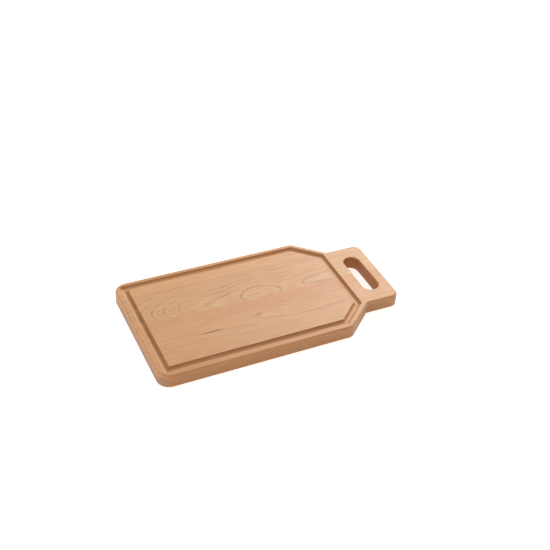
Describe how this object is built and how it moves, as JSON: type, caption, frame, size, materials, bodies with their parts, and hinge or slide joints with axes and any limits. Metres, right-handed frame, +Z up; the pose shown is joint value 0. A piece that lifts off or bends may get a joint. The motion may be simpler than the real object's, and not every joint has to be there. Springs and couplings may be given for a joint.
{
  "type": "cutting board",
  "caption": "Edge-glued hardwood cutting board with sloping shoulders, a handle end with a hand slot, rounded edges and a juice groove round the cutting field.",
  "frame": {"origin": "on the underside, half way along the length and on the centre line of the outline", "axes": "+X along the grain towards the handle's end, +Y to the left of that, +Z up out of the cutting face"},
  "size_m": [0.371, 0.2, 0.021],
  "materials": {
    "figured_cherry": "flat-sawn cherry, sanded smooth and lightly oiled, satin",
    "plain_cherry": "straight-grained cherry, sanded smooth and lightly oiled, satin",
    "wood_glue": "cured wood glue in a tight joint, satin"
  },
  "bodies": {
    "root": {"right_edge_stave": "plain_cherry", "right_core_stave": "figured_cherry", "left_core_stave": "figured_cherry", "left_edge_stave": "plain_cherry", "right_glue_line": "wood_glue", "middle_glue_line": "wood_glue", "left_glue_line": "wood_glue"}
  },
  "joints": []
}
